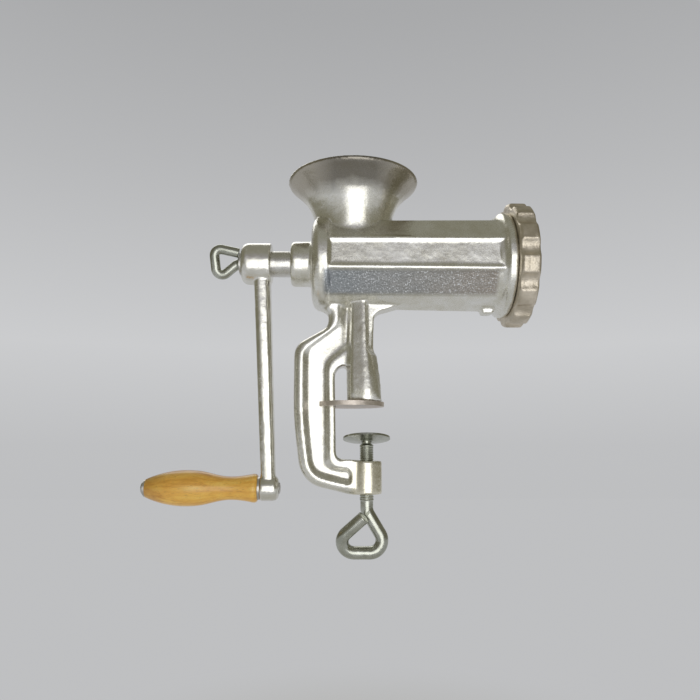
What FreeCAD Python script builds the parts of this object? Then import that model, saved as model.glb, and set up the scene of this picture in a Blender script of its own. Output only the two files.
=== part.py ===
import FreeCAD, Part
import math
import os

# Hand crank meat grinder, table-clamp type, in millimetres.
# Origin: on the clamp screw's axis, in the plane where the table top meets the table plate.
# +X runs along the barrel towards the outlet, +Z is up, the crank is at -X.

V = FreeCAD.Vector
X_DIR, Z_DIR = V(1, 0, 0), V(0, 0, 1)

# ---- clearances -------------------------------------------------------------
RUN_FIT = 0.05            # radial clearance of a turning fit
SLIDE_FIT = 0.08          # radial clearance of a part that slides in and out
FACE_GAP = 0.10           # end play between faces that turn on each other
SEAT_SINK = 0.5           # how far joined castings run into one another

# ---- barrel -----------------------------------------------------------------
AXIS_Z = 113.8            # height of the barrel axis over the table
BORE_R = 29.0
BARREL_BACK_X = -43.6
PANEL_START_X, PANEL_END_X = -33.3, 104.0
PANEL_R_BACK, PANEL_R_FRONT = 36.2, 37.9     # circumscribed radius of the ten flat panels
RIB_R = 2.2                                  # bead along each corner between panels
RIB_RISE = 0.9
RIB_CORNERS = (2, 3, 7, 8)                    # the corners that carry a bead, counted from the top
FACETS = 10
COLLAR_R = 37.8
FLANGE_R = 41.9
FLANGE_END_X = 111.8
FLANGE_STEP = 2.0
BACK_WALL = 4.0
REAR_BOSS_R = 18.0
REAR_BOSS_X = -60.2
REAR_BOSS_EASE = 3.2
SIGHT_PAD_X, SIGHT_PAD_L, SIGHT_PAD_W, SIGHT_PAD_H = 91.5, 9.0, 12.0, 2.6

# ---- cutting set ------------------------------------------------------------
PLATE_R = 35.0
PLATE_T = 6.0
KNIFE_T = 8.0
KNIFE_R = PLATE_R - 2.0
KNIFE_ARM_W = 12.0
KNIFE_HUB_R = 11.5
KNIFE_ARMS = 4
KNIFE_RELIEF = 3.2
SEAT_X = 108.0                                # shoulder where the counterbore starts
MOUTH_X = 122.0                               # front end of the threaded mouth
MOUTH_R = 39.0
PLATE_X = SEAT_X + 0.4 + KNIFE_T + FACE_GAP
PLATE_HOLE_R = 2.9
PLATE_HOLE_PITCH = 7.7
PLATE_HOLE_REACH = 31.0
KEY_W = 5.0
KEY_DEPTH = 3.0
KEY_LENGTH = 4.6
KEY_SETBACK = 0.4                             # from the plate's back face
KEY_COVER = 1.2                               # wall left outside the key

# ---- ring nut ---------------------------------------------------------------
RING_TIP_R = 49.6
RING_VALLEY = 3.4
RING_SCOOP_R = 9.0
RING_LOBES = 12
RING_PHASE = 14.0
RING_BACK_GAP = 0.3
RING_LIP_T = 4.4
RING_MOUTH_R = 31.6
RING_CHAMFER = 1.6

# ---- auger ------------------------------------------------------------------
NECK_R = 10.3
BUSH_WALL = 2.8
THRUST_T = 2.0
THRUST_R = 18.0
FLIGHT_R = 28.4
FLIGHT_PITCH = 31.0
FLIGHT_ROOT_T, FLIGHT_TIP_T = 7.0, 3.2
CORE_R_BACK, CORE_R_FRONT = 12.0, 17.0
DRIVE_SQUARE = 14.0
STUD_SQUARE = 9.4
STUD_SHANK_R = 4.6
STUD_SHANK_L = 16.0
STUD_PIN_R = 4.4

# ---- crank ------------------------------------------------------------------
CRANK_RADIUS = 175.6
CRANK_BOSS_R = 16.6
CRANK_BOSS_FRONT_X = -75.4
CRANK_BOSS_BACK_X = -96.0
CRANK_DOME_X = -99.4
CRANK_BOSS_EASE = 5.6
ARM_TOP_X, ARM_LOW_X = -83.4, -74.6           # centre of the arm at its two ends
ARM_TOP_T, ARM_LOW_T = 13.3, 11.2             # along the barrel axis
ARM_TOP_W, ARM_LOW_W = 20.0, 14.5
LOW_BOSS_R = 9.6
LOW_BOSS_EASE = 4.8
LOW_BOSS_X0, LOW_BOSS_X1 = -81.0, -66.6

# ---- handle -----------------------------------------------------------------
SPINDLE_R = 4.0
SPINDLE_HEAD_R = 5.2
SPINDLE_HEAD_T = 2.6
PEEN_R = 4.5
PEEN_T = 1.2
HANDLE_WASHER_R = 8.6
HANDLE_WASHER_T = 1.6
END_WASHER_R = 6.4
END_WASHER_T = 1.2
GRIP_LENGTH = 84.2
GRIP_PROFILE = [                              # share of length from the crank end, radius
    (0.000, 9.2), (0.012, 10.3), (0.070, 10.2), (0.135, 9.3), (0.215, 8.7), (0.325, 9.3),
    (0.415, 11.0), (0.500, 12.6), (0.610, 13.4), (0.725, 13.1), (0.810, 12.0), (0.895, 10.2),
    (0.955, 8.5), (1.000, 6.9)]

# ---- crank screw (bent from round rod) ---------------------------------------
CRANK_SCREW_R = 3.9
CRANK_WASHER_R = 9.0
CRANK_WASHER_T = 1.4
CRANK_SCREW_DEPTH = 20.0
CRANK_EYE_LOW = (-17.0, -13.4)                # corners of the eye's centre line, from the collar
CRANK_EYE_FAR = (-19.4, 12.8)
CRANK_EYE_END = (0.8, 8.6)
CRANK_EYE_BEND = 5.0
CRANK_EYE_TURN = 15.0                         # how far the eye leans, degrees

# ---- hopper -----------------------------------------------------------------
HOPPER_X = -10.5
HOPPER_OUT = [(28.4, 124.0), (28.6, 137.5), (29.3, 142.5), (30.3, 147.0), (31.8, 152.5),
              (34.4, 159.4), (37.6, 165.4), (41.4, 169.8), (46.4, 174.8), (51.2, 178.9),
              (52.6, 181.0), (52.2, 182.6), (50.6, 183.0)]
HOPPER_IN = [(49.4, 181.8), (43.4, 176.0), (38.4, 170.8), (34.5, 165.8), (31.4, 159.6),
             (28.8, 152.6), (26.6, 145.5), (25.0, 139.0)]

# ---- clamp frame ------------------------------------------------------------
FRAME_W = 18.0
WEB_T = 6.0
FRAME_EDGE_R = 6.0                            # rounding along the outer edge of the frame
FRAME_EDGE_TOP = 76.0
FRAME_OUTER = [(-40.6, 88.0, 0), (-42.0, 80.0, 1.5), (-29.6, 72.6, 5), (-30.6, 62.4, 6.5),
               (-56.7, 47.6, 14), (-56.6, -8.0, 260), (-50.2, -57.8, 23), (-12.0, -66.6, 26),
               (0.0, -66.6, 0)]
FRAME_INNER = [(0.0, -41.2, 0), (-23.4, -39.6, 4), (-24.8, 31.2, 7.5), (5.0, 31.2, 3),
               (5.6, 73.0, 8), (26.0, 79.0, 0), (26.0, 88.0, 0)]
POCKET_RIM = [(-23.0, 86.0, 0), (-22.6, 64.2, 8), (-49.9, 45.2, 12), (-49.8, -9.0, 240),
              (-44.2, -52.6, 17), (-11.8, -60.2, 3), (-11.8, -46.8, 5), (-28.8, -45.4, 7),
              (-30.0, 32.4, 9), (-12.0, 47.8, 3), (-12.0, 86.0, 0)]
POCKET_FLOOR = [(-17.6, 86.0, 0), (-17.8, 64.6, 8), (-44.8, 42.6, 9), (-44.6, -8.0, 220),
                (-39.8, -48.4, 12), (-12.6, -55.4, 2), (-12.6, -49.4, 3), (-31.4, -47.2, 5),
                (-32.4, 33.6, 8), (-13.2, 50.2, 3), (-13.2, 86.0, 0)]
SCREW_BOSS_R = 11.6
SCREW_BOSS_TOP, SCREW_BOSS_LOW = -41.2, -66.2

# ---- feet and table plate -----------------------------------------------------
FEET_SIDES = (-1, 1)
FOOT_SECTIONS = [                             # height, then (x, distance out from the middle)
    (87.0, [(-13.4, 3.0), (-12.2, 11.5), (-3.2, 14.8), (-1.6, 14.8), (0.8, 12.0), (1.4, 3.0)]),
    (46.0, [(-15.0, 4.0), (-12.2, 14.2), (-2.8, 17.2), (-0.8, 17.2), (1.4, 15.0), (3.4, 4.0)]),
    (39.0, [(-16.4, 4.6), (-12.4, 14.8), (-2.6, 17.8), (-0.4, 17.8), (3.6, 15.5), (8.8, 6.0)]),
    (10.5, [(-15.6, 9.2), (-12.6, 18.0), (-2.2, 21.0), (1.4, 21.0), (7.6, 18.6), (11.8, 9.2)]),
    (3.4, [(-15.6, 9.8), (-12.4, 17.2), (-2.2, 20.2), (1.4, 20.2), (7.4, 17.9), (11.8, 9.8)])]
TABLE_PLATE_R = 25.9
TABLE_PLATE_T = 3.4
TABLE_PLATE_X = -12.3
TABLE_SLOT_CLEAR = 0.6
TABLE_SLOT_END_X = -24.0
TABLE_RIVET_R = 2.4
TABLE_RIVET_L = 9.0
TABLE_RIVET_X, TABLE_RIVET_Y = -4.0, 14.6

# ---- clamp screw and pad -------------------------------------------------------
CLAMP_R = 5.5
ROD_R = 4.9
PAD_Z = -27.0                                  # underside of the pad's hub
PAD_R = 18.2
PAD_T = 1.4
PAD_DISH = 2.0
PAD_TILT = 11.5                                # the loose pad leans, near edge up
PAD_PLAY = 0.6                                 # radial room that lets the pad lean
PAD_HUB_R = 6.8
PAD_HUB_T = 1.8
PAD_LIFT = 1.2                                 # room over and under the hub for its lean
CLAMP_TIP_R = 3.4
CLAMP_HEAD_R = 5.4
CLAMP_NOSE = 1.4                               # height of the cone under the pad
CLAMP_HEAD_T = 1.1
CLAMP_THREAD_LOW = -70.5
CLAMP_EYE_PATH = [(0.0, 0.0, -78.8), (18.5, 0.0, -109.4), (-32.2, 0.0, -109.3),
                  (-4.4, -8.8, -84.1)]         # corners of the eye's centre line
CLAMP_EYE_BEND = 9.2


def tube_x(r, x0, x1, y=0.0, z=AXIS_Z):
    return Part.makeCylinder(r, x1 - x0, V(x0, y, z), X_DIR)


def tube_z(r, z0, z1, x=0.0, y=0.0):
    return Part.makeCylinder(r, z1 - z0, V(x, y, z0), Z_DIR)


def box(x0, x1, y0, y1, z0, z1):
    return Part.makeBox(x1 - x0, y1 - y0, z1 - z0, V(x0, y0, z0))


def turned(points, origin, axis, radial):
    """Solid of revolution from (distance along axis, radius) points."""
    path = [origin + axis * d + radial * r for d, r in points]
    wire = Part.makePolygon(path + [path[0]])
    return Part.Face(wire).revolve(origin, axis, 360)


def turned_x(points, z=AXIS_Z):
    return turned(points, V(0, 0, z), X_DIR, Z_DIR)


def turned_z(points, x=0.0):
    """Points are (radius, height)."""
    return turned([(h, r) for r, h in points], V(x, 0, 0), Z_DIR, X_DIR)


def eased_corner(x, radius, ease):
    """Quarter round at the left end of a turned boss; a negative ease rounds a right end."""
    steps = [math.radians(a) for a in (0, 18, 36, 54, 72, 90)]
    return [(x + ease * (1 - math.sin(a)), radius - abs(ease) * (1 - math.cos(a)))
            for a in reversed(steps)]


def fused(shapes):
    shapes = list(shapes)
    return shapes[0].multiFuse(shapes[1:]).removeSplitter() if len(shapes) > 1 else shapes[0]


def rounded_wire(corners):
    """Closed outline in the XZ plane from (x, z, corner radius) points."""
    edges, starts, ends = [], [], []
    count = len(corners)
    for i, (x, z, radius) in enumerate(corners):
        here = V(x, 0, z)
        before, after = corners[i - 1], corners[(i + 1) % count]
        back = (V(before[0], 0, before[1]) - here).normalize()
        ahead = (V(after[0], 0, after[1]) - here).normalize()
        if radius <= 0:
            starts.append(here)
            ends.append(here)
            edges.append(None)
            continue
        half = back.getAngle(ahead) / 2
        reach = radius / math.tan(half)
        first, last = here + back * reach, here + ahead * reach
        bisector = (back + ahead).normalize()
        middle = here + bisector * (radius / math.sin(half) - radius)
        starts.append(first)
        ends.append(last)
        edges.append(Part.Arc(first, middle, last).toShape())
    outline = []
    for i in range(count):
        if edges[i] is not None:
            outline.append(edges[i])
        start, end = ends[i], starts[(i + 1) % count]
        if start.distanceToPoint(end) > 1e-6:
            outline.append(Part.makeLine(start, end))
    return Part.Wire(Part.__sortEdges__(outline))


def slab(corners, y0, y1):
    face = Part.Face(rounded_wire(corners))
    face.translate(V(0, y0, 0))
    return face.extrude(V(0, y1 - y0, 0))


def panel_outline(x, radius):
    step = 360.0 / FACETS
    points = []
    for i in range(FACETS + 1):
        a = math.radians(step * i)
        points.append(V(x, radius * math.sin(a), AXIS_Z + radius * math.cos(a)))
    return Part.makePolygon(points)


def square_bar(side, x0, x1):
    return box(x0, x1, -side / 2, side / 2, AXIS_Z - side / 2, AXIS_Z + side / 2)


def bent_rod(points, bend, radius):
    """Round rod along a path of straight runs joined by arcs."""
    edges, last = [], points[0]
    for before, here, after in zip(points, points[1:], points[2:]):
        back, ahead = (before - here).normalize(), (after - here).normalize()
        half = back.getAngle(ahead) / 2
        reach = bend / math.tan(half)
        first, end = here + back * reach, here + ahead * reach
        middle = here + (back + ahead).normalize() * (bend / math.sin(half) - bend)
        edges.append(Part.makeLine(last, first))
        edges.append(Part.Arc(first, middle, end).toShape())
        last = end
    edges.append(Part.makeLine(last, points[-1]))
    start_dir = (points[1] - points[0]).normalize()
    ring = Part.Wire([Part.makeCircle(radius, points[0], start_dir)])
    return Part.Wire(edges).makePipeShell([ring], True, True)


def tapered_pocket(side):
    """Recess between two outlines, narrowing from the frame's face down to its web."""
    rim, floor = rounded_wire(POCKET_RIM), rounded_wire(POCKET_FLOOR)
    rim.translate(V(0, side * FRAME_W / 2, 0))
    floor.translate(V(0, side * WEB_T / 2, 0))
    return Part.makeLoft([rim, floor], True, True)


def make_barrel():
    loft = Part.makeLoft([panel_outline(PANEL_START_X - SEAT_SINK, PANEL_R_BACK),
                          panel_outline(PANEL_END_X + SEAT_SINK, PANEL_R_FRONT)], True)
    collar = turned_x([(BARREL_BACK_X, 0), (BARREL_BACK_X, 27.0), (BARREL_BACK_X + 0.9, 31.6),
                       (BARREL_BACK_X + 2.8, 35.2), (BARREL_BACK_X + 5.6, 37.4),
                       (PANEL_START_X, COLLAR_R), (PANEL_START_X + 2.5, COLLAR_R),
                       (PANEL_START_X + 4.0, COLLAR_R - 1.5), (PANEL_START_X + 4.0, 0)])
    flange = turned_x([(PANEL_END_X - 4.0, 0), (PANEL_END_X - 4.0, PANEL_R_FRONT - 1.0),
                       (PANEL_END_X - 0.5, PANEL_R_FRONT + 0.6), (PANEL_END_X + FLANGE_STEP, FLANGE_R),
                       (FLANGE_END_X, FLANGE_R), (FLANGE_END_X, 0)])
    mouth = tube_x(MOUTH_R, PANEL_END_X, MOUTH_X)
    rear = turned_x([(REAR_BOSS_X, 0)] + eased_corner(REAR_BOSS_X, REAR_BOSS_R, REAR_BOSS_EASE)
                    + [(BARREL_BACK_X + SEAT_SINK, REAR_BOSS_R), (BARREL_BACK_X + SEAT_SINK, 0)])
    ribs = []
    for i in RIB_CORNERS:
        a = math.radians(360.0 / FACETS * i)
        ends = [V(x, (r + RIB_RISE - RIB_R) * math.sin(a), AXIS_Z + (r + RIB_RISE - RIB_R) * math.cos(a))
                for x, r in ((PANEL_START_X, PANEL_R_BACK), (PANEL_END_X, PANEL_R_FRONT))]
        run = ends[1] - ends[0]
        ribs.append(Part.makeCylinder(RIB_R, run.Length, ends[0], run))
    bottom = AXIS_Z - PANEL_R_FRONT
    pad = box(SIGHT_PAD_X, SIGHT_PAD_X + SIGHT_PAD_L, -SIGHT_PAD_W / 2, SIGHT_PAD_W / 2,
              bottom - SIGHT_PAD_H, bottom + 1.0)
    return fused([loft, collar, flange, mouth, rear, pad] + ribs)


def key_block(low_z):
    """The key's outline from a given height out into the mouth's wall."""
    x0 = PLATE_X + KEY_SETBACK
    return box(x0, x0 + KEY_LENGTH, -KEY_W / 2, KEY_W / 2, low_z, AXIS_Z + MOUTH_R - KEY_COVER)


def round_outer_edge(frame):
    """Rounds the frame's outline on both faces, from under the barrel to the screw boss."""
    window_left = FRAME_INNER[2][0]
    edges = []
    for edge in frame.Edges:
        span = edge.BoundBox
        on_face = span.YLength < 0.01 and abs(abs(span.YMin) - FRAME_W / 2) < 0.01
        back = span.XMax < window_left - 1 and span.ZMax < FRAME_EDGE_TOP
        if on_face and (back or span.ZMax < SCREW_BOSS_TOP - 10):
            edges.append(edge)
    return frame.makeFillet(FRAME_EDGE_R, edges)


def make_foot(side):
    rings = []
    for z, points in FOOT_SECTIONS:
        ring = [V(x, side * y, z) for x, y in points]
        rings.append(Part.makePolygon(ring + [ring[0]]))
    return Part.makeLoft(rings, True, True)


def make_body_casting():
    frame = round_outer_edge(slab(FRAME_OUTER + FRAME_INNER, -FRAME_W / 2, FRAME_W / 2))
    for side in FEET_SIDES:
        frame = frame.cut(tapered_pocket(side))
    boss = tube_z(SCREW_BOSS_R, SCREW_BOSS_LOW, SCREW_BOSS_TOP)
    feet = [make_foot(side) for side in FEET_SIDES]
    hopper = turned_z([(0.0, HOPPER_OUT[0][1])] + HOPPER_OUT + [(0.0, HOPPER_OUT[-1][1])], HOPPER_X)
    body = fused([make_barrel(), hopper, frame, boss] + feet)
    throat = HOPPER_IN + [(HOPPER_IN[-1][0], AXIS_Z), (0.0, AXIS_Z), (0.0, HOPPER_OUT[-1][1] + 2),
                          (HOPPER_IN[0][0] + 1.0, HOPPER_OUT[-1][1] + 2)]
    cuts = [turned_z(throat, HOPPER_X),
            tube_x(BORE_R, BARREL_BACK_X + BACK_WALL, MOUTH_X + 1),
            tube_x(PLATE_R + SLIDE_FIT, SEAT_X, MOUTH_X + 1),
            tube_x(NECK_R + BUSH_WALL, REAR_BOSS_X - 1, BARREL_BACK_X + BACK_WALL + 1),
            tube_z(CLAMP_R + RUN_FIT, SCREW_BOSS_LOW - 1, SCREW_BOSS_TOP + 1)]
    for side in FEET_SIDES:
        cuts.append(tube_z(TABLE_RIVET_R, 0, TABLE_RIVET_L, TABLE_RIVET_X, side * TABLE_RIVET_Y))
    cuts.append(key_block(AXIS_Z + PLATE_R - 2.0))
    for tool in cuts:
        body = body.cut(tool)
    return body


def make_rear_bush():
    tube = tube_x(NECK_R + BUSH_WALL, REAR_BOSS_X, BARREL_BACK_X + BACK_WALL)
    return tube.cut(tube_x(NECK_R + RUN_FIT, REAR_BOSS_X - 1, BARREL_BACK_X + BACK_WALL + 1))


def make_thrust_washer():
    x0 = BARREL_BACK_X + BACK_WALL
    return tube_x(THRUST_R, x0, x0 + THRUST_T).cut(tube_x(NECK_R + RUN_FIT, x0 - 1, x0 + THRUST_T + 1))


AUGER_SHOULDER_X = BARREL_BACK_X + BACK_WALL + THRUST_T + FACE_GAP
AUGER_FRONT_X = SEAT_X - 0.4
NECK_END_X = CRANK_BOSS_FRONT_X


def make_auger():
    core = turned_x([(AUGER_SHOULDER_X, 0), (AUGER_SHOULDER_X, THRUST_R - 1),
                     (AUGER_SHOULDER_X + 3, THRUST_R - 1), (AUGER_SHOULDER_X + 8, CORE_R_BACK),
                     (AUGER_FRONT_X, CORE_R_FRONT), (AUGER_FRONT_X, 0)])
    neck = tube_x(NECK_R, NECK_END_X, AUGER_SHOULDER_X + 1)
    square = square_bar(DRIVE_SQUARE, CRANK_BOSS_BACK_X, NECK_END_X + 1)
    start, length = AUGER_SHOULDER_X + 4, AUGER_FRONT_X - AUGER_SHOULDER_X - 4 - FLIGHT_ROOT_T
    helix = Part.makeHelix(FLIGHT_PITCH, length, FLIGHT_R)
    inner = CORE_R_BACK - 4
    section = Part.makePolygon([V(inner, 0, -FLIGHT_ROOT_T / 2), V(FLIGHT_R, 0, -FLIGHT_TIP_T / 2),
                                V(FLIGHT_R, 0, FLIGHT_TIP_T / 2), V(inner, 0, FLIGHT_ROOT_T / 2),
                                V(inner, 0, -FLIGHT_ROOT_T / 2)])
    flight = Part.Wire(helix.Edges).makePipeShell([section], True, True)
    flight.rotate(V(0, 0, 0), V(0, 1, 0), 90)
    flight.translate(V(start + FLIGHT_ROOT_T / 2, 0, AXIS_Z))
    auger = fused([core, neck, square, flight])
    screw_hole_end = CRANK_DOME_X + CRANK_SCREW_DEPTH + 1
    auger = auger.cut(tube_x(CRANK_SCREW_R + RUN_FIT, CRANK_BOSS_BACK_X - 1, screw_hole_end))
    return auger.cut(tube_x(STUD_SHANK_R, AUGER_FRONT_X - STUD_SHANK_L, AUGER_FRONT_X + 1))


def make_auger_stud():
    shank = tube_x(STUD_SHANK_R, AUGER_FRONT_X - STUD_SHANK_L, AUGER_FRONT_X)
    square = square_bar(STUD_SQUARE, AUGER_FRONT_X, SEAT_X + 0.4 + KNIFE_T - 0.2)
    pin = tube_x(STUD_PIN_R, SEAT_X + KNIFE_T, PLATE_X + PLATE_T)
    return fused([shank, square, pin])


def make_knife():
    x0 = SEAT_X + 0.4
    x1 = x0 + KNIFE_T
    hub = tube_x(KNIFE_HUB_R, x0, x1)
    arms = []
    for i in range(KNIFE_ARMS):
        arm = box(x0, x1, -KNIFE_ARM_W / 2, KNIFE_ARM_W / 2, AXIS_Z, AXIS_Z + KNIFE_R)
        slope = box(-KNIFE_T, KNIFE_RELIEF, 0, KNIFE_ARM_W, KNIFE_HUB_R, KNIFE_R + 1)
        slope.rotate(V(0, 0, 0), Z_DIR, -24)
        slope.translate(V(x0, 0, AXIS_Z))
        arm = arm.cut(slope)
        arm.rotate(V(0, 0, AXIS_Z), X_DIR, 360.0 / KNIFE_ARMS * i + 20)
        arms.append(arm)
    knife = fused([hub] + arms).common(tube_x(KNIFE_R, x0, x1))
    return knife.cut(square_bar(STUD_SQUARE, x0 - 1, x1 + 1))


def make_grinding_plate():
    plate = tube_x(PLATE_R, PLATE_X, PLATE_X + PLATE_T)
    holes = [tube_x(STUD_PIN_R + RUN_FIT, PLATE_X - 1, PLATE_X + PLATE_T + 1)]
    rows = int(PLATE_HOLE_REACH / PLATE_HOLE_PITCH) + 1
    keep_out = STUD_PIN_R + PLATE_HOLE_R + 1.2
    for row in range(-rows, rows + 1):
        for col in range(-rows, rows + 1):
            y = PLATE_HOLE_PITCH * (col + row / 2)
            z = PLATE_HOLE_PITCH * row * math.sqrt(3) / 2
            if keep_out < math.hypot(y, z) <= PLATE_HOLE_REACH - PLATE_HOLE_R:
                holes.append(tube_x(PLATE_HOLE_R, PLATE_X - 1, PLATE_X + PLATE_T + 1, y, AXIS_Z + z))
    plate = plate.cut(Part.makeCompound(holes))
    notch = box(PLATE_X - 1, PLATE_X + PLATE_T + 1, -KEY_W / 2 - SLIDE_FIT, KEY_W / 2 + SLIDE_FIT,
                AXIS_Z + PLATE_R - KEY_DEPTH, AXIS_Z + PLATE_R + 1)
    return plate.cut(notch)


def make_plate_key():
    return key_block(AXIS_Z + PLATE_R - KEY_DEPTH + 2 * SLIDE_FIT)


def make_ring_nut():
    x0 = FLANGE_END_X + RING_BACK_GAP
    lip = PLATE_X + PLATE_T + FACE_GAP / 2
    x1 = lip + RING_LIP_T
    ring = turned_x([(x0, 0), (x0, RING_TIP_R - RING_CHAMFER), (x0 + RING_CHAMFER, RING_TIP_R),
                     (x1 - RING_CHAMFER, RING_TIP_R), (x1, RING_TIP_R - RING_CHAMFER * 1.6), (x1, 0)])
    scoops = []
    reach = RING_TIP_R + RING_SCOOP_R - RING_VALLEY
    for i in range(RING_LOBES):
        a = math.radians(360.0 / RING_LOBES * (i + 0.5) - RING_PHASE)
        y, z = -reach * math.cos(a), AXIS_Z + reach * math.sin(a)
        scoops.append(tube_x(RING_SCOOP_R, x0 - 1, x1 + 1, y, z))
    ring = ring.cut(Part.makeCompound(scoops))
    ring = ring.cut(tube_x(MOUTH_R + RUN_FIT, x0 - 1, lip))
    return ring.cut(turned_x([(lip - 1, 0), (lip - 1, RING_MOUTH_R), (x1 - 1.5, RING_MOUTH_R),
                              (x1 + 0.5, RING_MOUTH_R + 2.0), (x1 + 0.5, 0)]))


def arm_section(x, z, thick, wide):
    points = []
    for i in range(24):
        a = math.radians(15.0 * i)
        power = 0.62                            # between an ellipse and a rectangle
        cx, cy = math.cos(a), math.sin(a)
        points.append(V(x + thick / 2 * math.copysign(abs(cx) ** power, cx),
                        wide / 2 * math.copysign(abs(cy) ** power, cy), z))
    curve = Part.BSplineCurve()
    curve.interpolate(points, PeriodicFlag=True)
    return Part.Wire([curve.toShape()])


def make_crank_arm():
    low_z = AXIS_Z - CRANK_RADIUS
    boss = turned_x([(CRANK_DOME_X, 0)] + eased_corner(CRANK_DOME_X, CRANK_BOSS_R, CRANK_BOSS_EASE)
                    + [(CRANK_BOSS_FRONT_X - 1.2, CRANK_BOSS_R),
                       (CRANK_BOSS_FRONT_X, CRANK_BOSS_R - 1.2), (CRANK_BOSS_FRONT_X, 0)])
    arm = Part.makeLoft([arm_section(ARM_TOP_X, AXIS_Z, ARM_TOP_T, ARM_TOP_W),
                         arm_section(ARM_LOW_X, low_z, ARM_LOW_T, ARM_LOW_W)], True)
    rounded_end = eased_corner(LOW_BOSS_X1, LOW_BOSS_R, -LOW_BOSS_EASE)
    foot = turned_x([(LOW_BOSS_X0, 0), (LOW_BOSS_X0, LOW_BOSS_R - 0.8), (LOW_BOSS_X0 + 0.8, LOW_BOSS_R)]
                    + rounded_end[::-1] + [(LOW_BOSS_X1, 0)], low_z)
    crank = fused([boss, arm, foot])
    crank = crank.cut(square_bar(DRIVE_SQUARE, CRANK_BOSS_BACK_X - 0.2, CRANK_BOSS_FRONT_X + 1))
    crank = crank.cut(tube_x(CRANK_SCREW_R + RUN_FIT, CRANK_DOME_X - 1, CRANK_BOSS_BACK_X + 1))
    return crank.cut(tube_x(SPINDLE_R, LOW_BOSS_X0 - 1, LOW_BOSS_X1 + 1, 0, low_z))


GRIP_Z = AXIS_Z - CRANK_RADIUS
GRIP_RIGHT_X = LOW_BOSS_X0 - HANDLE_WASHER_T - FACE_GAP
GRIP_LEFT_X = GRIP_RIGHT_X - GRIP_LENGTH
END_WASHER_X = GRIP_LEFT_X - FACE_GAP - END_WASHER_T


def make_handle_grip():
    points = [V(GRIP_RIGHT_X - share * GRIP_LENGTH, 0, GRIP_Z + r) for share, r in GRIP_PROFILE]
    curve = Part.BSplineCurve()
    curve.interpolate(points)
    first, last = V(GRIP_RIGHT_X, 0, GRIP_Z), V(GRIP_LEFT_X, 0, GRIP_Z)
    wire = Part.Wire([curve.toShape(), Part.makeLine(points[-1], last), Part.makeLine(last, first),
                      Part.makeLine(first, points[0])])
    grip = Part.Face(wire).revolve(first, X_DIR, 360)
    return grip.cut(tube_x(SPINDLE_R + RUN_FIT, GRIP_LEFT_X - 1, GRIP_RIGHT_X + 1, 0, GRIP_Z))


def make_handle_spindle():
    head_x = END_WASHER_X - SPINDLE_HEAD_T
    rod = tube_x(SPINDLE_R, END_WASHER_X - 0.5, LOW_BOSS_X1 + 0.5, 0, GRIP_Z)
    head = turned_x([(END_WASHER_X, 0), (END_WASHER_X, SPINDLE_HEAD_R),
                     (END_WASHER_X - 0.9, SPINDLE_HEAD_R), (head_x + 0.5, SPINDLE_HEAD_R * 0.72),
                     (head_x, SPINDLE_HEAD_R * 0.35), (head_x, 0)], GRIP_Z)
    peen = turned_x([(LOW_BOSS_X1, 0), (LOW_BOSS_X1, PEEN_R), (LOW_BOSS_X1 + PEEN_T * 0.45, PEEN_R * 0.88),
                     (LOW_BOSS_X1 + PEEN_T * 0.85, PEEN_R * 0.5), (LOW_BOSS_X1 + PEEN_T, 0)], GRIP_Z)
    return fused([rod, head, peen])


def washer(outer, thick, x0, z):
    return tube_x(outer, x0, x0 + thick, 0, z)


def make_handle_inner_washer():
    disc = washer(HANDLE_WASHER_R, HANDLE_WASHER_T, LOW_BOSS_X0 - HANDLE_WASHER_T, GRIP_Z)
    return disc.cut(tube_x(SPINDLE_R, LOW_BOSS_X0 - HANDLE_WASHER_T - 1, LOW_BOSS_X0 + 1, 0, GRIP_Z))


def make_handle_end_washer():
    disc = washer(END_WASHER_R, END_WASHER_T, END_WASHER_X, GRIP_Z)
    return disc.cut(tube_x(SPINDLE_R, END_WASHER_X - 1, END_WASHER_X + END_WASHER_T + 1, 0, GRIP_Z))


CRANK_WASHER_X = CRANK_DOME_X - CRANK_WASHER_T
CRANK_COLLAR_T = 1.6


def make_crank_washer():
    disc = washer(CRANK_WASHER_R, CRANK_WASHER_T, CRANK_WASHER_X, AXIS_Z)
    return disc.cut(tube_x(CRANK_SCREW_R + RUN_FIT, CRANK_WASHER_X - 1, CRANK_DOME_X + 1))


def make_crank_screw():
    collar_x = CRANK_WASHER_X - FACE_GAP / 2 - CRANK_COLLAR_T
    tip = V(CRANK_DOME_X + CRANK_SCREW_DEPTH, 0, AXIS_Z)
    neck = V(collar_x - 0.5, 0, AXIS_Z)
    corners = [V(collar_x + x, 0, AXIS_Z + z) for x, z in (CRANK_EYE_LOW, CRANK_EYE_FAR, CRANK_EYE_END)]
    rod = bent_rod([tip, neck] + corners, CRANK_EYE_BEND, CRANK_SCREW_R)
    collar = tube_x(CRANK_SCREW_R + 1.2, collar_x, collar_x + CRANK_COLLAR_T)
    screw = fused([rod, collar])
    screw.rotate(V(0, 0, AXIS_Z), X_DIR, CRANK_EYE_TURN)
    return screw


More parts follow.
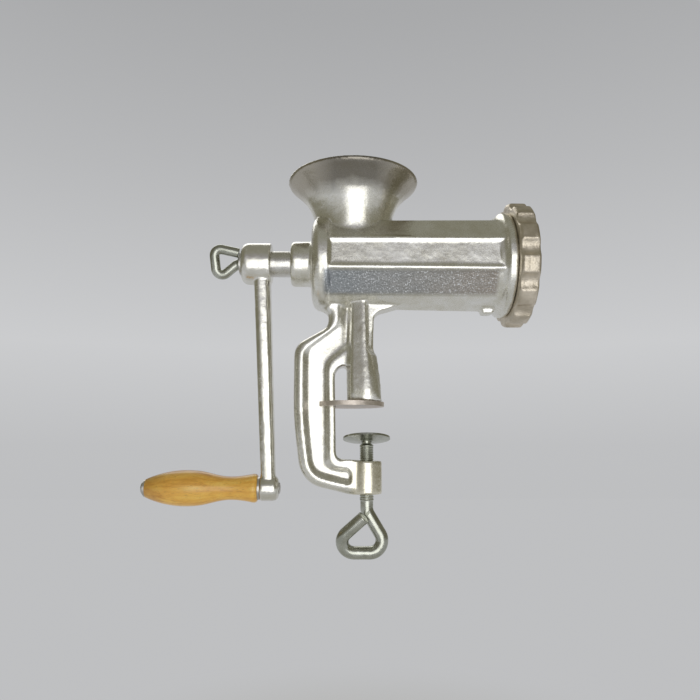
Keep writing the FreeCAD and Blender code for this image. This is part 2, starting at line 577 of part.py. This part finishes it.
def make_clamp_screw():
    top = PAD_Z + PAD_HUB_T + PAD_LIFT
    thread = tube_z(CLAMP_R, CLAMP_THREAD_LOW, PAD_Z - PAD_LIFT - CLAMP_NOSE)
    nose = turned_z([(0, PAD_Z - PAD_LIFT - CLAMP_NOSE), (CLAMP_R, PAD_Z - PAD_LIFT - CLAMP_NOSE),
                     (CLAMP_TIP_R, PAD_Z - PAD_LIFT), (0, PAD_Z - PAD_LIFT)])
    tip = tube_z(CLAMP_TIP_R, PAD_Z - PAD_LIFT - 0.5, top + 0.5)
    head = turned_z([(0, top), (CLAMP_HEAD_R, top), (CLAMP_HEAD_R * 0.86, top + CLAMP_HEAD_T * 0.6),
                     (CLAMP_HEAD_R * 0.5, top + CLAMP_HEAD_T), (0, top + CLAMP_HEAD_T)])
    path = [V(0, 0, CLAMP_THREAD_LOW + 1)] + [V(*corner) for corner in CLAMP_EYE_PATH]
    return fused([thread, nose, tip, head, bent_rod(path, CLAMP_EYE_BEND, ROD_R)])


def make_clamp_pad():
    low, high = PAD_Z, PAD_Z + PAD_HUB_T
    profile = [(0, low), (PAD_HUB_R, low), (PAD_HUB_R + 1, low + 0.3), (PAD_R, low + PAD_DISH),
               (PAD_R, low + PAD_DISH + PAD_T), (PAD_R - 1.2, low + PAD_DISH + PAD_T),
               (CLAMP_HEAD_R + 3.0, high), (0, high)]
    pad = turned_z(profile).cut(tube_z(CLAMP_TIP_R + PAD_PLAY, low - 1, high + 1))
    pad.rotate(V(0, 0, (low + high) / 2), X_DIR, -PAD_TILT)
    return pad


def make_table_plate():
    disc = tube_z(TABLE_PLATE_R, 0, TABLE_PLATE_T, TABLE_PLATE_X)
    half = FRAME_W / 2 + TABLE_SLOT_CLEAR
    slot = box(TABLE_PLATE_X - TABLE_PLATE_R - 1, TABLE_SLOT_END_X, -half, half, -1, TABLE_PLATE_T + 1)
    disc = disc.cut(slot)
    for side in FEET_SIDES:
        disc = disc.cut(tube_z(TABLE_RIVET_R, -1, TABLE_PLATE_T + 1, TABLE_RIVET_X, side * TABLE_RIVET_Y))
    return disc


def make_table_rivet(side):
    return tube_z(TABLE_RIVET_R, 0, TABLE_RIVET_L, TABLE_RIVET_X, side * TABLE_RIVET_Y)


NODES = {
    "body_casting": make_body_casting,
    "rear_bush": make_rear_bush,
    "thrust_washer": make_thrust_washer,
    "auger": make_auger,
    "auger_stud": make_auger_stud,
    "knife": make_knife,
    "grinding_plate": make_grinding_plate,
    "plate_key": make_plate_key,
    "ring_nut": make_ring_nut,
    "crank_arm": make_crank_arm,
    "crank_washer": make_crank_washer,
    "crank_screw": make_crank_screw,
    "handle_spindle": make_handle_spindle,
    "handle_inner_washer": make_handle_inner_washer,
    "handle_grip": make_handle_grip,
    "handle_end_washer": make_handle_end_washer,
    "clamp_screw": make_clamp_screw,
    "clamp_pad": make_clamp_pad,
    "table_plate": make_table_plate,
    "table_rivet_front": lambda: make_table_rivet(FEET_SIDES[0]),
    "table_rivet_back": lambda: make_table_rivet(FEET_SIDES[1]),
}

os.makedirs("parts", exist_ok=True)
for name, make in NODES.items():
    shape = make()
    solids = shape.Solids
    if len(solids) != 1 or not shape.isValid():
        print("check", name, "solids:", len(solids), "valid:", shape.isValid())
    solids[0].exportStep("parts/" + name + ".step")
    print(name, round(shape.Volume / 1000.0, 2), "cm3")
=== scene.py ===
import bpy
import math
import numpy as np
from mathutils import Matrix, Vector


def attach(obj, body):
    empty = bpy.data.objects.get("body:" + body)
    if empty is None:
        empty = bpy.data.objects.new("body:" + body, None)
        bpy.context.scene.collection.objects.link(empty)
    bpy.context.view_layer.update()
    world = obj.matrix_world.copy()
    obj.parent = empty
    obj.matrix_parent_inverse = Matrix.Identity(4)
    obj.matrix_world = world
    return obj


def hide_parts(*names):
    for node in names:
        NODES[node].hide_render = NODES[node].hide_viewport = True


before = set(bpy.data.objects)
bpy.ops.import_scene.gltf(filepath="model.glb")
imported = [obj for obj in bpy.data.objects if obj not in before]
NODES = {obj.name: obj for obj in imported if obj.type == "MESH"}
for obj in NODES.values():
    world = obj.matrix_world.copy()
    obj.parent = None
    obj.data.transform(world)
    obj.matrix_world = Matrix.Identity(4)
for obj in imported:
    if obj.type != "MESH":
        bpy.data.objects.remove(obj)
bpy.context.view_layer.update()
SCENE = bpy.context.scene

MM = 0.001


# ---- small helpers for node materials ---------------------------------------
class Nodes:
    def __init__(self, tree):
        self.tree = tree

    def add(self, kind, **settings):
        node = self.tree.nodes.new(kind)
        for key, value in settings.items():
            setattr(node, key, value)
        return node

    def link(self, a, b):
        self.tree.links.new(a, b)

    def coords(self, scale=(1, 1, 1)):
        """Object coordinates in millimetres, times scale."""
        tex = self.add("ShaderNodeTexCoord")
        mapping = self.add("ShaderNodeMapping")
        mapping.inputs["Scale"].default_value = [1000 * s for s in scale]
        self.link(tex.outputs["Object"], mapping.inputs["Vector"])
        return mapping.outputs["Vector"]

    def split(self, vector):
        node = self.add("ShaderNodeSeparateXYZ")
        self.link(vector, node.inputs["Vector"])
        return node.outputs

    def fade(self, value, start, end):
        """0 at start, 1 at end, and held beyond them."""
        node = self.add("ShaderNodeMapRange")
        node.inputs["From Min"].default_value = start
        node.inputs["From Max"].default_value = end
        self.link(value, node.inputs["Value"])
        return node.outputs["Result"]

    def noise(self, vector, scale, detail, rough):
        node = self.add("ShaderNodeTexNoise")
        node.inputs["Scale"].default_value = scale
        node.inputs["Detail"].default_value = detail
        node.inputs["Roughness"].default_value = rough
        self.link(vector, node.inputs["Vector"])
        return node.outputs["Fac"]

    def ramp(self, factor, stops):
        node = self.add("ShaderNodeValToRGB")
        elements = node.color_ramp.elements
        while len(elements) < len(stops):
            elements.new(0.5)
        for element, (place, colour) in zip(elements, stops):
            element.position = place
            if isinstance(colour, (int, float)):
                colour = (colour, colour, colour)
            element.color = (*colour, 1)
        self.link(factor, node.inputs["Fac"])
        return node.outputs["Color"]

    def math(self, operation, a, b=None, c=None, clamp=False):
        node = self.add("ShaderNodeMath", operation=operation, use_clamp=clamp)
        for socket, value in zip(node.inputs, (a, b, c)):
            if value is None:
                continue
            if isinstance(value, (int, float)):
                socket.default_value = value
            else:
                self.link(value, socket)
        return node.outputs[0]

    def mix(self, factor, a, b):
        node = self.add("ShaderNodeMix", data_type="RGBA")
        self.link(factor, node.inputs["Factor"])
        for name, value in (("A", a), ("B", b)):
            socket = [s for s in node.inputs if s.name == name and s.type == "RGBA"][0]
            if isinstance(value, tuple):
                socket.default_value = (*value, 1)
            else:
                self.link(value, socket)
        return [s for s in node.outputs if s.type == "RGBA"][0]

    def bump(self, height, distance, normal=None):
        """Raised by distance millimetres where height is 1."""
        node = self.add("ShaderNodeBump")
        node.inputs["Strength"].default_value = 1.0
        node.inputs["Distance"].default_value = distance * MM
        self.link(height, node.inputs["Height"])
        if normal is not None:
            self.link(normal, node.inputs["Normal"])
        return node.outputs["Normal"]


def new_material(name):
    material = bpy.data.materials.new(name)
    material.use_nodes = True
    n = Nodes(material.node_tree)
    shader = material.node_tree.nodes["Principled BSDF"]
    return material, n, shader


def metal(name, light, dark, rough, patch, grain, grain_depth, wave=0.12, wave_depth=0.35):
    """Plated or cast metal: slow colour patches, slow waves and a fine grain.

    patch, grain and wave are spots to the millimetre, and the depths are in millimetres."""
    material, n, shader = new_material(name)
    vector = n.coords()
    patches = n.noise(vector, patch, 4.0, 0.6)
    fine = n.noise(vector, grain, 3.0, 0.6)
    waves = n.noise(vector, wave, 2.0, 0.4)
    n.link(n.ramp(patches, [(0.36, dark), (0.64, light)]), shader.inputs["Base Color"])
    spread = n.math("MULTIPLY_ADD", fine, 0.5, n.math("MULTIPLY", patches, 0.5))
    n.link(n.ramp(spread, [(0.35, rough[0]), (0.68, rough[1])]), shader.inputs["Roughness"])
    shader.inputs["Metallic"].default_value = 1.0
    slow = n.bump(waves, wave_depth)
    n.link(n.bump(fine, grain_depth, slow), shader.inputs["Normal"])
    return material


# Where each zone's colour starts and where it is full, in millimetres
FACET_FROM_ABOVE = (102.2, 99.5)
FACET_FROM_BELOW = (83.0, 86.0)
# height span of the painted dark reflection on the hopper's flare
DARK_REFLECTION_Z = (161.0, 171.0)
BOSS_Z = (-38.0, -46.0)
GRIP_END_SHADE_X = (-148.0, -166.0)
HOPPER_X = -10.5               # middle of the hopper


def bare_facet(n, place):
    """1 on the rough lower facets of the barrel, and 0.15 elsewhere."""
    top = n.fade(place["Z"], *FACET_FROM_ABOVE)
    bottom = n.fade(place["Z"], *FACET_FROM_BELOW)
    ends = n.ramp(n.math("MULTIPLY_ADD", place["X"], 0.005, 0.5),
                  [(0.325, 0.0), (0.340, 1.0), (0.985, 1.0), (1.000, 0.0)])
    facet = n.math("MULTIPLY", top, bottom, clamp=True)
    return n.math("MULTIPLY_ADD", n.math("MULTIPLY", facet, ends), 0.85, 0.15)


def tin_colour(n, patches, orange_peel):
    """Bright tin with yellower and duller blotches."""
    blotch = n.math("MULTIPLY_ADD", orange_peel, 0.35, n.math("MULTIPLY", patches, 0.65))
    return n.ramp(blotch, [(0.30, (0.66, 0.63, 0.53)), (0.47, (0.79, 0.775, 0.70)),
                           (0.66, (0.90, 0.895, 0.865))])


def facet_tone_with_painted_reflection(n, place, patches, sparkle):
    """Dark iron, partly its own rougher tone and partly painted dark reflection, bluish at the crank
    end and brown at the ring as painted reflection, with bright painted glints.
    """
    along = n.math("MULTIPLY_ADD", place["X"], 0.0075, n.math("MULTIPLY", patches, 0.5))
    iron_tone_and_painted_reflection = n.ramp(along, [(0.05, (0.31, 0.335, 0.36)), (0.60, (0.36, 0.35, 0.335)),
                           (1.0, (0.38, 0.335, 0.29))])
    # the bright specks mixed in here are painted glints
    return n.mix(n.ramp(sparkle, [(0.56, 0.0), (0.66, 1.0)]), iron_tone_and_painted_reflection, (0.90, 0.93, 0.96))


def with_painted_dark_reflection(n, place, patches, tint):
    """Painted dark reflection on the hopper's flare, darkest in its middle."""
    height = n.math("MULTIPLY_ADD", patches, 14.0, n.math("SUBTRACT", place["Z"], 7.0))
    amount = n.math("MULTIPLY", n.fade(height, *DARK_REFLECTION_Z), 0.85, clamp=True)
    off_middle = n.math("ABSOLUTE", n.math("SUBTRACT", place["X"], HOPPER_X))
    dark_reflection = n.ramp(n.math("MULTIPLY", off_middle, 0.02),
                   [(0.30, (0.17, 0.150, 0.12)), (0.66, (0.44, 0.40, 0.33))])
    return n.mix(amount, tint, dark_reflection)


def with_gold_boss(n, place, tint):
    """Gives the clamp screw's boss its yellow tin."""
    low = n.fade(place["Z"], *BOSS_Z)
    side = n.ramp(n.math("MULTIPLY_ADD", place["X"], 0.01, 0.5), [(0.36, 0.0), (0.40, 1.0)])
    return n.mix(n.math("MULTIPLY", low, side, clamp=True), tint, (0.82, 0.78, 0.64))


def tinned_iron():
    """Cast iron dipped in tin: bright and wavy, rough and sparkling where the sand shows through,
    where the colour also holds painted dark reflection and painted glints.
    """
    material, n, shader = new_material("tinned_casting")
    vector = n.coords()
    place = n.split(vector)
    patches = n.noise(vector, 0.045, 5.0, 0.62)
    waves = n.noise(vector, 0.11, 2.0, 0.45)
    orange_peel = n.noise(vector, 0.55, 3.0, 0.6)
    grit = n.noise(vector, 1.6, 2.0, 0.7)
    sparkle = n.noise(vector, 0.95, 2.0, 0.7)
    coarse = bare_facet(n, place)

    tint = tin_colour(n, patches, orange_peel)
    # lower facets take the dark iron colour with painted reflection and painted glints
    bare_iron_and_painted_reflection = n.math("MULTIPLY_ADD", coarse, 1.1, -0.16, clamp=True)
    tint = n.mix(bare_iron_and_painted_reflection, tint, facet_tone_with_painted_reflection(n, place, patches, sparkle))
    # the hopper's flare gets a painted dark reflection
    tint = with_painted_dark_reflection(n, place, patches, with_gold_boss(n, place, tint))
    n.link(tint, shader.inputs["Base Color"])

    rough = n.math("MULTIPLY_ADD", grit, 0.16, n.math("MULTIPLY_ADD", patches, 0.16, 0.10))
    rough = n.math("MULTIPLY_ADD", coarse, 0.06, rough, clamp=True)
    n.link(rough, shader.inputs["Roughness"])
    shader.inputs["Metallic"].default_value = 1.0

    peel = n.math("MULTIPLY", n.math("MULTIPLY_ADD", sparkle, 0.35, orange_peel), coarse)
    n.link(n.bump(peel, 0.40, n.bump(waves, 0.34)), shader.inputs["Normal"])
    return material


def varnished_wood():
    """Yellow varnished wood with its grain along X, with painted shade darkening the grip's outer end.
    """
    material, n, shader = new_material("grip_wood")
    vector = n.coords((0.10, 1, 1))
    figure = n.noise(vector, 0.32, 6.0, 0.62)
    pores = n.noise(n.coords((0.05, 1, 1)), 2.6, 3.0, 0.7)
    blush = n.noise(n.coords((0.6, 1, 1)), 0.06, 2.0, 0.5)
    grain = n.math("MULTIPLY_ADD", figure, 0.75, n.math("MULTIPLY", blush, 0.25))
    colour = n.ramp(grain, [(0.36, (0.66, 0.31, 0.040)), (0.47, (0.83, 0.44, 0.070)),
                            (0.56, (0.90, 0.53, 0.095)), (0.68, (0.95, 0.64, 0.16))])
    # painted shade: darker towards the grip's outer end
    end = n.fade(n.split(n.coords())["X"], *GRIP_END_SHADE_X)
    colour = n.mix(n.math("MULTIPLY", end, 0.45, clamp=True), colour, (0.30, 0.14, 0.03))
    dark = n.ramp(pores, [(0.30, 0.0), (0.42, 1.0)])
    colour = n.mix(dark, (0.36, 0.16, 0.04), colour)
    n.link(colour, shader.inputs["Base Color"])
    n.link(n.ramp(figure, [(0.3, 0.42), (0.7, 0.30)]), shader.inputs["Roughness"])
    shader.inputs["Coat Weight"].default_value = 0.45
    shader.inputs["Coat Roughness"].default_value = 0.12
    n.link(n.bump(pores, 0.05, n.bump(figure, 0.10)), shader.inputs["Normal"])
    return material


MATERIALS = {
    "casting": tinned_iron(),
    "ring": metal("ring_casting", (0.74, 0.67, 0.56), (0.54, 0.48, 0.38),
                  (0.34, 0.50), 0.08, 0.8, 0.20, 0.2, 0.5),
    "crank": metal("crank_plated", (0.86, 0.85, 0.80), (0.72, 0.70, 0.62),
                   (0.16, 0.30), 0.07, 0.9, 0.06, 0.10, 0.6),
    "zinc": metal("bright_zinc", (0.54, 0.55, 0.49), (0.40, 0.41, 0.35),
                  (0.18, 0.32), 0.10, 1.6, 0.04, 0.25, 0.15),
    "plate": metal("table_plate_iron", (0.74, 0.67, 0.60), (0.56, 0.50, 0.44),
                   (0.40, 0.54), 0.12, 1.0, 0.08),
    "steel": metal("plain_steel", (0.66, 0.65, 0.62), (0.52, 0.50, 0.46),
                   (0.26, 0.42), 0.12, 1.4, 0.04),
    "ground": metal("ground_steel", (0.68, 0.68, 0.68), (0.58, 0.58, 0.58),
                    (0.22, 0.34), 0.10, 1.2, 0.03),
    "bush": metal("bush_iron", (0.44, 0.42, 0.40), (0.32, 0.30, 0.28),
                  (0.35, 0.5), 0.12, 1.0, 0.06),
    "auger": metal("tinned_auger", (0.76, 0.75, 0.72), (0.62, 0.60, 0.55),
                   (0.20, 0.38), 0.06, 0.8, 0.10, 0.12, 0.5),
    "wood": varnished_wood(),
}

FINISH = {
    "rear_bush": "bush", "thrust_washer": "steel", "auger": "auger", "auger_stud": "ground",
    "knife": "ground", "grinding_plate": "ground", "plate_key": "steel",
    "crank_washer": "steel", "handle_spindle": "steel", "handle_inner_washer": "steel",
    "handle_end_washer": "steel", "handle_grip": "wood", "clamp_pad": "zinc",
    "table_plate": "plate", "table_rivet_front": "steel", "table_rivet_back": "steel",
    "body_casting": "casting", "ring_nut": "ring", "crank_arm": "crank", "crank_screw": "zinc",
    "clamp_screw": "zinc",
}

for node, finish in FINISH.items():
    NODES[node].data.materials.clear()
    NODES[node].data.materials.append(MATERIALS[finish])


# ---- pieces rebuilt with soft cast edges ------------------------------------
def apply_modifiers(obj):
    graph = bpy.context.evaluated_depsgraph_get()
    mesh = bpy.data.meshes.new_from_object(obj.evaluated_get(graph))
    old = obj.data
    obj.modifiers.clear()
    obj.data = mesh
    bpy.data.meshes.remove(old)


def read_points(obj):
    points = np.zeros(len(obj.data.vertices) * 3)
    obj.data.vertices.foreach_get("co", points)
    return points.reshape(-1, 3)


def write_points(obj, points):
    obj.data.vertices.foreach_set("co", points.ravel())
    obj.data.update()


def melt_edges(obj, weight, iterations):
    """Smooths the mesh further, by weight(points), which is 0 to 1."""
    group = obj.vertex_groups.new(name="soft")
    for index, amount in enumerate(weight(read_points(obj))):
        if amount > 0:
            group.add([index], float(amount), "REPLACE")
    melt = obj.modifiers.new("melt", "SMOOTH")
    melt.factor = 0.5
    melt.iterations = iterations
    melt.vertex_group = group.name
    apply_modifiers(obj)
    obj.vertex_groups.clear()


def soft_copy(node, name, voxel, smooth, body, shape=None, extra=None):
    """The CAD solid with its sharp edges eased, as a casting or a bent rod has them.

    voxel is in millimetres and smooth counts smoothing steps. shape(points) then moves the
    surface, and extra holds what melt_edges is given."""
    obj = bpy.data.objects.new(name, NODES[node].data.copy())
    SCENE.collection.objects.link(obj)
    remesh = obj.modifiers.new("remesh", "REMESH")
    remesh.mode = "VOXEL"
    remesh.voxel_size = voxel * MM
    remesh.use_smooth_shade = True
    ease = obj.modifiers.new("ease", "SMOOTH")
    ease.factor = 0.5
    ease.iterations = smooth
    apply_modifiers(obj)
    if shape:
        write_points(obj, shape(read_points(obj)))
    if extra:
        melt_edges(obj, *extra)
    obj.data.materials.clear()
    obj.data.materials.append(MATERIALS[FINISH[node]])
    obj.data.polygons.foreach_set("material_index", [0] * len(obj.data.polygons))
    obj.data.polygons.foreach_set("use_smooth", [True] * len(obj.data.polygons))
    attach(obj, body)
    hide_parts(node)
    return obj


def ease_in(value, start, end):
    """0 at start, 1 at end, and held beyond them."""
    return np.clip((value - start) / (end - start), 0, 1)


# Outline of the frame's pocket, X and Z in millimetres
POCKET = [(-23.0, 86.0), (-22.6, 64.2), (-49.9, 45.2), (-49.8, -9.0), (-44.2, -52.6), (-11.8, -60.2),
          (-11.8, -46.8), (-28.8, -45.4), (-30.0, 32.4), (-12.0, 47.8), (-12.0, 86.0)]
FACE_Y = 9.0                   # half the width of the clamp frame
POCKET_SHARE = 0.55            # depth kept of the pocket in the frame's side
LEG_EDGE_X = -0.8              # right end of the feet's front strip
LEG_TUCK = 0.30                # share kept of what lies beyond that end
LEG_LIMIT_X = 6.0              # points beyond this stay where they are


def within(x, z, outline):
    """Which points lie inside a closed outline, by counting the edges crossed to their right."""
    odd = np.zeros(len(x), bool)
    for (x0, z0), (x1, z1) in zip(outline, outline[1:] + outline[:1]):
        if z0 != z1:
            odd ^= ((z0 > z) != (z1 > z)) & (x < (x1 - x0) * (z - z0) / (z1 - z0) + x0)
    return odd


def cast_draft(points):
    """Shallow, soft-walled pocket in the frame, and legs that leave a flat strip of frame beside them.

    The numbers are where each change starts and is full, in millimetres."""
    x, y, z = (points[:, i] / MM for i in range(3))
    across = np.abs(y)
    pocket = within(x, z, POCKET) & (across < FACE_Y) & (across > 2.0)
    amount = np.where(pocket, ease_in(x, -15.0, -19.0) + ease_in(z, -40.0, -44.0), 0.0)
    across = across + np.clip(amount, 0, 1) * (1 - POCKET_SHARE) * (FACE_Y - across)
    leg = ease_in(across, FACE_Y, FACE_Y + 0.5) * ease_in(z, 39.5, 46.0) * ease_in(z, 84.0, 76.0)
    beside = np.where((x > LEG_EDGE_X) & (x < LEG_LIMIT_X), leg, 0.0)
    x = x + beside * (LEG_TUCK - 1) * (x - LEG_EDGE_X)
    return np.column_stack((x, np.sign(y) * across, z)) * MM


def frame_and_feet(points):
    """The clamp frame and feet are rounder than the barrel; the screw boss and the legs stay crisper.

    The numbers are where each change starts and is full, in millimetres."""
    x, z = points[:, 0] / MM, points[:, 2] / MM
    across = np.abs(points[:, 1]) / MM
    below_barrel = ease_in(z, 80.0, 66.0)
    soles = ease_in(z, 3.4, 5.0) + ease_in(x, -17.0, -21.0)
    screw_boss = 1.0 - ease_in(x, -17.0, -12.0) * ease_in(z, -24.0, -30.0)
    legs = 1.0 - 0.85 * ease_in(x, -17.0, -15.0) * ease_in(z, 12.0, 20.0) * ease_in(across, 7.0, 9.0)
    return below_barrel * np.clip(soles, 0, 1) * screw_boss * legs


def cut_thread(obj, span, pitch, depth, core):
    """Presses a screw thread into a rod that stands on the Z axis. All sizes are in millimetres.

    core is the radius inside which the surface is left alone."""
    run_out = 1.2
    points = read_points(obj)
    radius = np.hypot(points[:, 0], points[:, 1])
    angle = np.arctan2(points[:, 1], points[:, 0])
    along = points[:, 2] / MM
    phase = (along / pitch - angle / (2 * math.pi)) % 1.0
    groove = 1.0 - np.abs(phase * 2 - 1.0)
    fade = ease_in(along, span[0], span[0] + run_out) * ease_in(along, span[1], span[1] - run_out)
    shrink = np.where(radius > core * MM, depth * MM * groove * fade, 0.0)
    points[:, :2] *= ((radius - shrink) / np.maximum(radius, 1e-9))[:, None]
    write_points(obj, points)


def stretch_end(obj, start, end, reach, radius, length):
    """Draws a bent rod's end out by reach, along the line from start to end. All in millimetres.

    radius is how near the line a point has to be, and length how far back the change begins."""
    points = read_points(obj)
    start, end = np.array(start) * MM, np.array(end) * MM
    whole = np.linalg.norm(end - start)
    line = (end - start) / whole
    along = (points - start) @ line
    off = np.linalg.norm(points - start - along[:, None] * line, axis=1)
    share = np.where(off < radius * MM, ease_in(along, whole - length * MM, whole), 0.0)
    write_points(obj, points + (share * reach * MM)[:, None] * line)


CAST_VOXEL, CAST_STEPS, MELT_STEPS = 0.9, 9, 34
soft_copy("body_casting", "casting_skin", CAST_VOXEL, CAST_STEPS, "housing",
          cast_draft, (frame_and_feet, MELT_STEPS))
soft_copy("ring_nut", "ring_skin", 0.8, 7, "ring")
soft_copy("crank_arm", "crank_skin", 0.8, 8, "drive")
soft_copy("crank_screw", "thumb_screw_rod", 0.40, 5, "thumb_screw")
clamp = soft_copy("clamp_screw", "clamp_screw_rod", 0.35, 4, "clamp")
cut_thread(clamp, span=(-70.5, -29.6), pitch=1.75, depth=0.75, core=4.7)
stretch_end(clamp, start=(-32.2, 0.0, -109.3), end=(-4.4, -8.8, -84.1),
            reach=2.6, radius=5.3, length=14.0)


# ---- camera ------------------------------------------------------------------
CAMERA_PLACE = (-0.0245, -0.4860, -0.0294)
CAMERA_YAW, CAMERA_PITCH, CAMERA_ROLL = -1.37, 8.66, 0.08      # degrees, from looking along +Y


def aim(yaw, pitch, roll):
    cy, sy, cp, sp = math.cos(yaw), math.sin(yaw), math.cos(pitch), math.sin(pitch)
    right, ahead, up = Vector((cy, sy, 0)), Vector((-sy, cy, 0)), Vector((0, 0, 1))
    forward = ahead * cp + up * sp
    over = up * cp - ahead * sp
    side = right * math.cos(roll) + over * math.sin(roll)
    top = over * math.cos(roll) - right * math.sin(roll)
    return Matrix((side, top, -forward)).transposed()


camera_data = bpy.data.cameras.new("camera")
camera_data.sensor_width = 36.0
camera_data.lens = 32.1
camera_data.clip_start = 0.01
camera = bpy.data.objects.new("camera", camera_data)
turn = aim(math.radians(CAMERA_YAW), math.radians(CAMERA_PITCH), math.radians(CAMERA_ROLL))
camera.matrix_world = Matrix.Translation(CAMERA_PLACE) @ turn.to_4x4()
SCENE.collection.objects.link(camera)
SCENE.camera = camera


# ---- studio -------------------------------------------------------------------
PALE = (0.52, 0.525, 0.535)
# painted light on the backdrop: brightest just above the middle, darker towards the bottom and the top
BACKDROP_PAINTED_LIGHT = [(0.00, 0.85), (0.50, 1.0), (0.575, 1.15), (0.70, 0.92), (0.80, 0.76)]
FLOOR_LIFT = 0.26              # share of the plain background added to the matt floor
FLOOR_Z = -0.32


def soft_box(name, place, target, size, radiance, colour):
    """Rectangular lamp whose face has the given brightness, whatever its size."""
    data = bpy.data.lights.new(name, "AREA")
    data.shape = "RECTANGLE"
    data.size, data.size_y = size
    data.energy = radiance * math.pi * size[0] * size[1]
    data.color = colour
    lamp = bpy.data.objects.new(name, data)
    lamp.location = place
    direction = Vector(target) - Vector(place)
    lamp.rotation_euler = direction.to_track_quat("-Z", "Y").to_euler()
    lamp.visible_camera = False
    SCENE.collection.objects.link(lamp)


soft_box("window", (0.14, -1.05, 0.01), (0.14, 0, 0.0), (0.80, 0.52), 1.0, (0.99, 1.0, 1.0))
soft_box("window_glow", (0.14, -1.07, -0.02), (0.14, 0, 0.0), (1.15, 0.66), 0.6, (0.98, 0.99, 1.0))
soft_box("bounce", (0.10, -0.70, -0.30), (0.10, -0.55, 0.30), (0.75, 0.44), 1.5, (1.0, 1.0, 1.0))
soft_box("back", (-0.35, 1.10, 1.15), (0, 0, 0.05), (1.0, 0.7), 1.6, (1.0, 1.0, 1.0))

world = bpy.data.worlds.new("studio")
SCENE.world = world
world.use_nodes = True
w = Nodes(world.node_tree)
background = world.node_tree.nodes["Background"]
direction = w.add("ShaderNodeTexCoord").outputs["Generated"]
parts = w.split(direction)
height = w.math("MULTIPLY_ADD", parts["Z"], 0.5, 0.5)
room = w.ramp(height, [(0.00, (0.20, 0.21, 0.23)), (0.40, (0.25, 0.24, 0.19)),
                       (0.50, (0.34, 0.33, 0.28)), (0.56, (0.60, 0.60, 0.62)),
                       (0.66, (0.33, 0.32, 0.345)), (0.84, (0.27, 0.265, 0.225)),
                       (1.00, (0.25, 0.245, 0.20))])
sides = w.math("ABSOLUTE", parts["X"])
room = w.mix(w.ramp(sides, [(0.35, 0.0), (0.75, 1.0)]), room, (0.20, 0.19, 0.14))
wall = w.ramp(height, [(place, tuple(share * c for c in PALE)) for place, share in BACKDROP_PAINTED_LIGHT])
behind = w.ramp(w.math("MULTIPLY_ADD", parts["Y"], 0.5, 0.5), [(0.87, 0.0), (0.93, 1.0)])
studio = w.mix(behind, room, wall)
seen = w.add("ShaderNodeLightPath").outputs["Is Camera Ray"]
w.link(w.mix(seen, studio, wall), background.inputs["Color"])


def plane(name, size, matrix):
    half = size / 2
    mesh = bpy.data.meshes.new(name)
    corners = [(-half, -half, 0), (half, -half, 0), (half, half, 0), (-half, half, 0)]
    mesh.from_pydata(corners, [], [(0, 1, 2, 3)])
    obj = bpy.data.objects.new(name, mesh)
    obj.matrix_world = matrix
    SCENE.collection.objects.link(obj)
    return obj


def fading_floor(colour, inner, outer):
    """Matt near the middle, fading to the plain background further out."""
    material, n, shader = new_material("floor_pale")
    tree = material.node_tree
    tree.nodes.remove(shader)
    out = [x for x in tree.nodes if x.type == "OUTPUT_MATERIAL"][0]
    matt = n.add("ShaderNodeBsdfDiffuse")
    matt.inputs["Color"].default_value = (*colour, 1)
    lift = n.add("ShaderNodeEmission")
    lift.inputs["Color"].default_value = (*PALE, 1)
    lift.inputs["Strength"].default_value = FLOOR_LIFT
    lit = n.add("ShaderNodeAddShader")
    n.link(matt.outputs[0], lit.inputs[0])
    n.link(lift.outputs[0], lit.inputs[1])
    glow = n.add("ShaderNodeEmission")
    glow.inputs["Color"].default_value = (*PALE, 1)
    distance = n.add("ShaderNodeVectorMath", operation="LENGTH")
    n.link(n.add("ShaderNodeTexCoord").outputs["Object"], distance.inputs[0])
    span = n.add("ShaderNodeMapRange", interpolation_type="SMOOTHSTEP")
    span.inputs["From Min"].default_value = inner
    span.inputs["From Max"].default_value = outer
    n.link(distance.outputs["Value"], span.inputs["Value"])
    mixed = n.add("ShaderNodeMixShader")
    n.link(span.outputs["Result"], mixed.inputs["Fac"])
    n.link(lit.outputs[0], mixed.inputs[1])
    n.link(glow.outputs[0], mixed.inputs[2])
    n.link(mixed.outputs[0], out.inputs["Surface"])
    return material


floor = plane("floor", 6.0, Matrix.Translation((0, 0, FLOOR_Z)))
floor.data.materials.append(fading_floor((0.78, 0.785, 0.80), 0.10, 0.42))

SCENE.view_settings.view_transform = "Standard"
